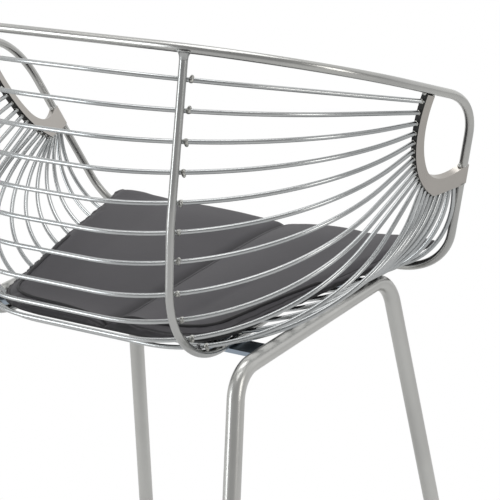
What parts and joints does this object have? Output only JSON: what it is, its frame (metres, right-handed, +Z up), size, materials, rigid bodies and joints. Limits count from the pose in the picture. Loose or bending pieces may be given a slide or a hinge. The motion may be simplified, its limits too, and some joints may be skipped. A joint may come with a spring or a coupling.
{
  "type": "wire mesh chair",
  "caption": "Armchair with a basket seat of round steel wires on bent tube legs, hand holes in both arms and a thin stitched seat pad.",
  "frame": {"origin": "on the floor, in the middle plane, half way between the rearmost and foremost points of the chair", "axes": "+Z up, the sitter faces -Y, +X to the sitter's left"},
  "size_m": [0.6384, 0.5414, 0.765],
  "materials": {
    "rim": "satin",
    "wire": "satin",
    "plate": "satin",
    "leg_tube": "satin",
    "bar": "satin",
    "glide": "matt",
    "pad_cover": "smooth grain, half matt"
  },
  "bodies": {
    "root": {"rim_top_rod": "rim", "rim_front_rod": "rim", "arm_plate_left": "plate", "arm_plate_right": "plate", "wire_01": "wire", "wire_02": "wire", "wire_03": "wire", "wire_04": "wire", "wire_05": "wire", "wire_06": "wire", "wire_07": "wire", "wire_08": "wire", "wire_09": "wire", "wire_10": "wire", "wire_11": "wire", "wire_12": "wire", "wire_13": "wire", "wire_14": "wire", "wire_15": "wire", "wire_16": "wire", "wire_17": "wire", "wire_18": "wire", "wire_19": "wire", "wire_20": "wire", "back_rib_left": "wire", "back_rib_right": "wire", "side_frame_left": "leg_tube", "side_frame_right": "leg_tube", "cross_bar_rear": "bar", "cross_bar_front": "bar", "foot_glide_rear_left": "glide", "foot_glide_rear_right": "glide", "foot_glide_front_left": "glide", "foot_glide_front_right": "glide", "seat_pad": "pad_cover"}
  },
  "joints": []
}
